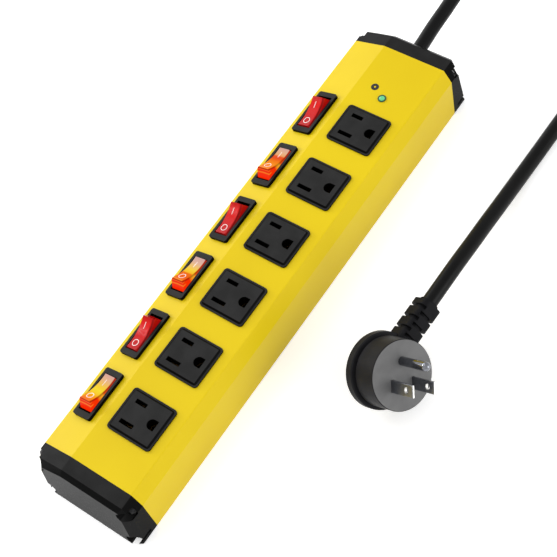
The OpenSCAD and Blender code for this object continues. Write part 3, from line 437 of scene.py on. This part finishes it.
rocker = {
    "tilt": 13.35,          # degrees each way
    "halfLength": 9.5,      # mm, from the pivot to each end
    "wallHeight": 8.6,      # mm above the pivot
    "dish": 26.25,          # mm, radius of the hollow in the rocker's top
    "dishCentre": 33.15,    # mm above the pivot
    "skin": 0.2,            # mm, how deep the top's colour reaches down the walls
    "shoulder": 1.3,        # mm, how far the sloping shoulder drops
    # painted shade: a darker line along the sloping shoulder
    "shoulderShade": [(0, "#ffffff"), (0.4, "#c4c4c4"), (0.6, "#bcbcbc"), (0.9, "#ffffff")],
    "ior": 1.58,
    "rough": (0.14, 0.2),
    "grainSize": 2.0,       # mm
    "relief": 0.004,        # mm
    "unlitSpecular": 0.06,
    "litSpecular": 0.02,
    "glow": 0.92,           # the neon's light through the plastic
    "core": ("#160100", "#1c0200"),
    "corePatch": 3,         # mm
    # along the rocker, from the end with the O to the end with the I, with painted light and shade
    "unlitTopPaintedShade": [(0, "#a81618"), (0.3, "#b41719"), (0.55, "#c01b1b"), (0.8, "#ca1a18"), (1, "#a80d0b")],
    # the same way over each lamp, as no two shine alike; the pale stretch where it is pressed in is a
    # painted reflection
    "topGlowAndPaintedReflection": {
        2: [(0, "#ff8a14"), (0.14, "#ff8a10"), (0.34, "#ff900a"), (0.48, "#fb7a06"), (0.6, "#ee4a04"),
            (0.68, "#f05410"), (0.73, "#f3ac6a"), (0.84, "#ecb890"), (1, "#dca9a2")],
        4: [(0, "#ffa014"), (0.06, "#fb7606"), (0.2, "#f66404"), (0.38, "#f87204"), (0.43, "#ffc31c"),
            (0.54, "#ffd82e"), (0.68, "#f7c870"), (0.82, "#e6b8a2"), (1, "#d8aca8")],
        6: [(0, "#fb6a10"), (0.1, "#ff8a14"), (0.24, "#ffac14"), (0.36, "#ffd41c"), (0.48, "#ffe228"),
            (0.58, "#ffd42c"), (0.7, "#f8c462"), (0.84, "#ecb890"), (1, "#dca9a2")],
    },
    "sideGlow": [(0, "#ff3000"), (0.24, "#fb3202"), (0.33, "#ff9a18"), (0.42, "#ffae26"), (0.5, "#f85a0a"),
                 (0.7, "#ee3c08"), (1, "#d83006")],
    # up the walls from the pivot: painted shade low down and a painted highlight near the top
    "unlitWallPaintedShade": [(0, "#6e0302"), (0.45, "#b4100d"), (0.75, "#a00a07"), (1, "#d41c16")],
    # up the raised end, where the steps inside show as bands
    "bandsFrom": 2.4,       # mm
    "bandsTo": 9.6,         # mm
    "bandLean": 0.05,       # each band rises by this much of its distance from the middle
    "bands": [(0, "#ff2800"), (0.4, "#fd3002"), (0.44, "#ff7a1e"), (0.5, "#ff7c20"), (0.54, "#f22e04"),
              (0.66, "#f63608"), (0.7, "#ff741e"), (0.74, "#f22e04"), (0.84, "#fa440c"), (0.9, "#ff8a26"),
              (1, "#ff6a14")],
    "endFrom": -7.6,        # mm, where the side's glow starts to give way to the bands
    "endTo": -9.0,          # mm
}


def rockerPlace(k):
    # rocker space: origin on the pivot, X along the pivot, Z out of the facet when level
    joint = jointOf["rocker_%d_press" % k]
    facet = math.atan2(joint["axis"][2], joint["axis"][0])
    tilt = math.radians(rocker["tilt"] if k not in lit else -rocker["tilt"])
    turned = Euler((tilt, -facet, 0), "XYZ")
    return Vector(joint["pos_m"]), turned


def rockerSpace(tree, k):
    # where a point lies in the rocker, in mm, how near it is to the top skin, and the shoulder's painted
    # shade
    place, turned = rockerPlace(k)
    point = addNode(tree, "ShaderNodeTexCoord")
    local = addNode(tree, "ShaderNodeMapping",
                    {"Location": place, "Rotation": turned, "Scale": (mm, mm, mm)},
                    {"Vector": point.outputs["Object"]}, vector_type="TEXTURE")
    axes = addNode(tree, "ShaderNodeSeparateXYZ", links={"Vector": local.outputs["Vector"]})
    square = addNode(tree, "ShaderNodeMath", links={0: axes.outputs["Y"], 1: axes.outputs["Y"]},
                     operation="MULTIPLY")
    rest = addNode(tree, "ShaderNodeMath", {0: rocker["dish"] ** 2}, {1: square.outputs["Value"]},
                   operation="SUBTRACT")
    root = addNode(tree, "ShaderNodeMath", links={0: rest.outputs["Value"]}, operation="SQRT")
    depth = addNode(tree, "ShaderNodeMath", links={0: axes.outputs["Z"], 1: root.outputs["Value"]},
                    operation="ADD")
    skin = addNode(tree, "ShaderNodeMapRange", {"From Min": rocker["dishCentre"] - 2 * rocker["skin"],
                                                "From Max": rocker["dishCentre"] - rocker["skin"]},
                   {"Value": depth.outputs["Value"]})
    shade = rampAlong(tree, depth.outputs["Value"], rocker["dishCentre"] - rocker["shoulder"],
                      rocker["dishCentre"], rocker["shoulderShade"])
    return axes, skin.outputs["Result"], shade


def makeUnlitRed(k):
    # clear red polycarbonate with its lamp off: bright on the skin, with painted light and shade along the
    # top and deeper red as painted shade down the walls
    material, tree, shader = startMaterial("polycarbonateRedUnlit%d" % k, {
        "IOR": rocker["ior"], "Specular IOR Level": rocker["unlitSpecular"]})
    axes, skin, shade = rockerSpace(tree, k)
    half = rocker["halfLength"]
    top = rampAlong(tree, axes.outputs["Y"], -half, half, rocker["unlitTopPaintedShade"])
    wall = rampAlong(tree, axes.outputs["Z"], 0, rocker["wallHeight"], rocker["unlitWallPaintedShade"])
    whole = addNode(tree, "ShaderNodeMix", links={"Factor": skin, "A": wall, "B": top}, data_type="RGBA")
    shaded = addNode(tree, "ShaderNodeMix", {"Factor": 1}, {"A": whole.outputs["Result"], "B": shade},
                     data_type="RGBA", blend_type="MULTIPLY")
    tree.links.new(shaded.outputs["Result"], shader.inputs["Base Color"])
    grain(tree, shader, rocker["grainSize"], rocker["relief"], rocker["rough"])
    return material


def makeLitRed(k):
    # the same polycarbonate over the burning neon: yellow and orange above the lamp, a pale painted
    # reflection where it is pressed in, and banded at the raised end
    material, tree, shader = startMaterial("polycarbonateRedLit%d" % k, {
        "IOR": rocker["ior"], "Specular IOR Level": rocker["litSpecular"],
        "Emission Strength": rocker["glow"]})
    axes, skin, shade = rockerSpace(tree, k)
    half = rocker["halfLength"]
    top = rampAlong(tree, axes.outputs["Y"], -half, half, rocker["topGlowAndPaintedReflection"][k])
    aside = addNode(tree, "ShaderNodeMath", links={0: axes.outputs["X"]}, operation="ABSOLUTE")
    chevron = addNode(tree, "ShaderNodeMath", {1: rocker["bandLean"]},
                      {0: aside.outputs["Value"], 2: axes.outputs["Z"]}, operation="MULTIPLY_ADD")
    bands = rampAlong(tree, chevron.outputs["Value"], rocker["bandsFrom"], rocker["bandsTo"],
                      rocker["bands"])
    side = rampAlong(tree, axes.outputs["Y"], -half, half, rocker["sideGlow"])
    nearEnd = addNode(tree, "ShaderNodeMapRange",
                      {"From Min": rocker["endFrom"], "From Max": rocker["endTo"]},
                      {"Value": axes.outputs["Y"]})
    wall = addNode(tree, "ShaderNodeMix", data_type="RGBA",
                   links={"Factor": nearEnd.outputs["Result"], "A": side, "B": bands})
    whole = addNode(tree, "ShaderNodeMix", links={"Factor": skin, "A": wall.outputs["Result"], "B": top},
                    data_type="RGBA")
    shaded = addNode(tree, "ShaderNodeMix", {"Factor": 1}, {"A": whole.outputs["Result"], "B": shade},
                     data_type="RGBA", blend_type="MULTIPLY")
    tree.links.new(shaded.outputs["Result"], shader.inputs["Emission Color"])
    tree.links.new(mottle(tree, *rocker["core"], rocker["corePatch"]), shader.inputs["Base Color"])
    grain(tree, shader, rocker["grainSize"], rocker["relief"], rocker["rough"])
    return material


for k in six:
    dress(["rocker_%d" % k], makeLitRed(k) if k in lit else makeUnlitRed(k))


def makeGlowing(name, dark, light, patch, glowColour, glow, rough, ior, alpha=1):
    material, tree, shader = startMaterial(name, {"IOR": ior, "Roughness": rough, "Alpha": alpha,
                                                  "Emission Color": toLinear(glowColour),
                                                  "Emission Strength": glow})
    tree.links.new(mottle(tree, dark, light, patch), shader.inputs["Base Color"])
    return material


# soda glass of the neon lamps, filled with an orange glow
neon = {"dark": "#ffb070", "light": "#ffc890", "patch": 2, "glowColour": "#ff9a40", "glow": 0.5,
        "rough": 0.05, "ior": 1.5, "alpha": 0.5}
dress(["neon_lamps"], makeGlowing("neonGlass", **neon))

# acrylic lens over a green diode: milky, with a soft green light
lens = {"dark": "#3f8e60", "light": "#54a374", "patch": 1.5, "glowColour": "#4fae74", "glow": 0.7,
        "rough": 0.15, "ior": 1.49}
dress(["indicator_lens"], makeGlowing("acrylicGreenLit", **lens))
print("stage: rockers and lamps finished")

edges = {
    "outlet": 0.38,   # mm
    "bezel": 0.25,
    "rocker": 0.25,
    "cap": 0.3,
    "plug": 0.2,
    "weld": 0.002,
    "sharpest": 32,   # degrees, flatter joins stay as they are
    "segments": 3,
}


def softenEdges(name, size):
    # moulded edges are never sharp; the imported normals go, so that the modifiers can make their own
    piece = nodes[name]
    if "custom_normal" in piece.data.attributes:
        piece.data.attributes.remove(piece.data.attributes["custom_normal"])
    for polygon in piece.data.polygons:
        polygon.use_smooth = True
    weld = piece.modifiers.new("weld", "WELD")
    weld.merge_threshold = edges["weld"] * mm
    bevel = piece.modifiers.new("edge", "BEVEL")
    bevel.width = size * mm
    bevel.segments = edges["segments"]
    bevel.limit_method = "ANGLE"
    bevel.angle_limit = math.radians(edges["sharpest"])
    bevel.harden_normals = True
    bevel.use_clamp_overlap = True
    weighted = piece.modifiers.new("normals", "WEIGHTED_NORMAL")
    weighted.keep_sharp = True


for k in six:
    softenEdges("outlet_%d" % k, edges["outlet"])
    softenEdges("switch_case_%d" % k, edges["bezel"])
    softenEdges("rocker_%d" % k, edges["rocker"])
for name in ("front_end_cap", "rear_end_cap"):
    softenEdges(name, edges["cap"])
for name in ("plug_body", "plug_relief", "plug_blades"):
    softenEdges(name, edges["plug"])
print("stage: edges softened")

# pad print, a thin opaque film
whiteInk = {"dark": "#e6dcd8", "light": "#f0e8e4", "rough": (0.4, 0.5), "grainSize": 0.4, "relief": 0.002}
markInk = makeMoulded("padPrintWhite", **whiteInk)
# screen print, matt and near black
blackInk = {"dark": "#060603", "light": "#0c0c06", "rough": (0.5, 0.6), "grainSize": 0.4, "relief": 0.002}
darkInk = makeMoulded("screenPrintDark", **blackInk)

marks = {
    "film": 0.1,          # mm, thickness of the ink, drawn thicker than life to stay clear of the surface
    "lift": 0.05,         # mm, from the rocker's top to the middle of the film
    "barWidth": 0.3,      # mm, the printed I
    "barFrom": 2.8,       # mm from the pivot
    "barLength": 3.7,
    "barSteps": 8,
    "ringAt": -5.5,       # mm from the pivot, the printed O
    "ringRadius": 2.0,
    "ringWidth": 0.34,
    "ringSteps": 40,
}
topPrint = {
    "from": (-7.9, 5.1),  # mm, off the indicator's middle
    "inner": 0.6,
    "outer": 2.25,
    "lift": 0.03,
}


def dishHeight(y):
    return rocker["dishCentre"] - math.sqrt(rocker["dish"] ** 2 - y * y) + marks["lift"]


def ribbon(name, innerLine, outerLine, closed, material, carrier, place=None):
    # a thin printed line between two outlines
    mesh = bpy.data.meshes.new(name)
    build = bmesh.new()
    inner = [build.verts.new(Vector(p) * mm) for p in innerLine]
    outer = [build.verts.new(Vector(p) * mm) for p in outerLine]
    count = len(inner)
    for i in range(count if closed else count - 1):
        j = (i + 1) % count
        build.faces.new((inner[i], outer[i], outer[j], inner[j]))
    if place is not None:
        build.transform(place)
    bmesh.ops.recalc_face_normals(build, faces=build.faces)
    build.to_mesh(mesh)
    build.free()
    mesh.materials.append(material)
    piece = bpy.data.objects.new(name, mesh)
    bpy.context.scene.collection.objects.link(piece)
    film = piece.modifiers.new("film", "SOLIDIFY")
    film.thickness = marks["film"] * mm
    film.offset = 0
    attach(piece, carrier)


def circle(radius):
    count = marks["ringSteps"]
    return [(radius * math.sin(2 * math.pi * i / count), radius * math.cos(2 * math.pi * i / count))
            for i in range(count)]


def makeMarks():
    half, steps, ringAt = marks["barWidth"] / 2, marks["barSteps"], marks["ringAt"]
    ys = [marks["barFrom"] + marks["barLength"] * i / steps for i in range(steps + 1)]
    for k in six:
        place, turned = rockerPlace(k)
        matrix = Matrix.Translation(place) @ turned.to_matrix().to_4x4()
        carrier = "rocker_%d_body" % k
        sides = [[(x, y, dishHeight(y)) for y in ys] for x in (-half, half)]
        ribbon("markOn%d" % k, sides[0], sides[1], False, markInk, carrier, matrix)
        rings = [[(x, ringAt + y, dishHeight(ringAt + y)) for x, y in circle(radius)]
                 for radius in (marks["ringRadius"] - marks["ringWidth"], marks["ringRadius"])]
        ribbon("markOff%d" % k, rings[0], rings[1], True, markInk, carrier, matrix)


def makeTopPrint():
    lowest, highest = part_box("indicator_holder")
    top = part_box("extruded_body")[1].z / mm + topPrint["lift"]
    middle = ((lowest + highest) / 2) / mm
    centre = (middle.x + topPrint["from"][0], middle.y + topPrint["from"][1])
    rings = [[(centre[0] + x, centre[1] + y, top) for x, y in circle(topPrint[edge])]
             for edge in ("inner", "outer")]
    ribbon("printedRing", rings[0], rings[1], True, darkInk, "power_strip")


makeMarks()
makeTopPrint()
print("stage: marks printed")

studio = {
    "world": 0.85,
    "white": "#ffffff",
    "floor": "#f4f4f4",
    "floorLift": 0.4,   # seen white, with the shadow kept
    "floorSize": 6,     # m, each way from the middle
    "floorDrop": 0.2,   # mm, below the underside of the strip
    "floorRough": 0.9,
    "floorSpecular": 0.1,
    "aim": (0, 0, 0.02),  # m, what every lamp points at
    # place in m, size in m, watts
    "lamps": {
        "keyLamp": (-1.03, 0.39, 0.52, 0.9, 4.4),
        "fillLamp": (1.14, 0.26, 0.36, 0.8, 4.6),
        "topLamp": (-0.81, 0.05, 1.6, 0.8, 3.2),
        "rimLamp": (-0.95, -0.2, 0.32, 0.3, 3.8),
    },
}


def seenDirectly(tree):
    # 1 for what the eye, a gloss or a clear wall sees, 0 for what only lights the object
    ray = addNode(tree, "ShaderNodeLightPath")
    seen = ray.outputs["Is Camera Ray"]
    for other in ("Is Glossy Ray", "Is Transmission Ray"):
        seen = addNode(tree, "ShaderNodeMath", links={0: seen, 1: ray.outputs[other]},
                       operation="MAXIMUM").outputs["Value"]
    return seen


def makeWorld():
    world = bpy.data.worlds.new("studio")
    bpy.context.scene.world = world
    world.use_nodes = True
    tree = world.node_tree
    tree.nodes.clear()
    white = toLinear(studio["white"])
    lighting = addNode(tree, "ShaderNodeBackground", {"Color": white, "Strength": studio["world"]})
    backdrop = addNode(tree, "ShaderNodeBackground", {"Color": white, "Strength": 1})
    mix = addNode(tree, "ShaderNodeMixShader",
                  links={0: seenDirectly(tree), 1: lighting.outputs[0], 2: backdrop.outputs[0]})
    addNode(tree, "ShaderNodeOutputWorld", links={"Surface": mix.outputs[0]})


def makeFloor():
    mesh = bpy.data.meshes.new("floor")
    build = bmesh.new()
    bmesh.ops.create_grid(build, x_segments=1, y_segments=1, size=studio["floorSize"])
    build.to_mesh(mesh)
    build.free()
    floor = bpy.data.objects.new("floor", mesh)
    bpy.context.scene.collection.objects.link(floor)
    floor.location.z = -studio["floorDrop"] * mm
    # matt paper sweep, lifted to white where it is looked at
    material, tree, shader = startMaterial("paperSweep", {"Roughness": studio["floorRough"],
                                                          "Specular IOR Level": studio["floorSpecular"],
                                                          "Base Color": toLinear(studio["floor"]),
                                                          "Emission Color": toLinear(studio["white"])})
    level = addNode(tree, "ShaderNodeMath", {1: studio["floorLift"]}, {0: seenDirectly(tree)},
                    operation="MULTIPLY")
    tree.links.new(level.outputs["Value"], shader.inputs["Emission Strength"])
    mesh.materials.append(material)


def makeLamp(name, x, y, z, size, watts):
    data = bpy.data.lights.new(name, "AREA")
    data.shape = "DISK"
    data.size = size
    data.energy = watts
    lamp = bpy.data.objects.new(name, data)
    bpy.context.scene.collection.objects.link(lamp)
    lamp.location = (x, y, z)
    lamp.rotation_mode = "QUATERNION"
    lamp.rotation_quaternion = (Vector(studio["aim"]) - lamp.location).to_track_quat("-Z", "Y")


makeWorld()
makeFloor()
for name, values in studio["lamps"].items():
    makeLamp(name, *values)
bpy.context.scene.view_settings.view_transform = "Standard"
print("stage: studio lit")
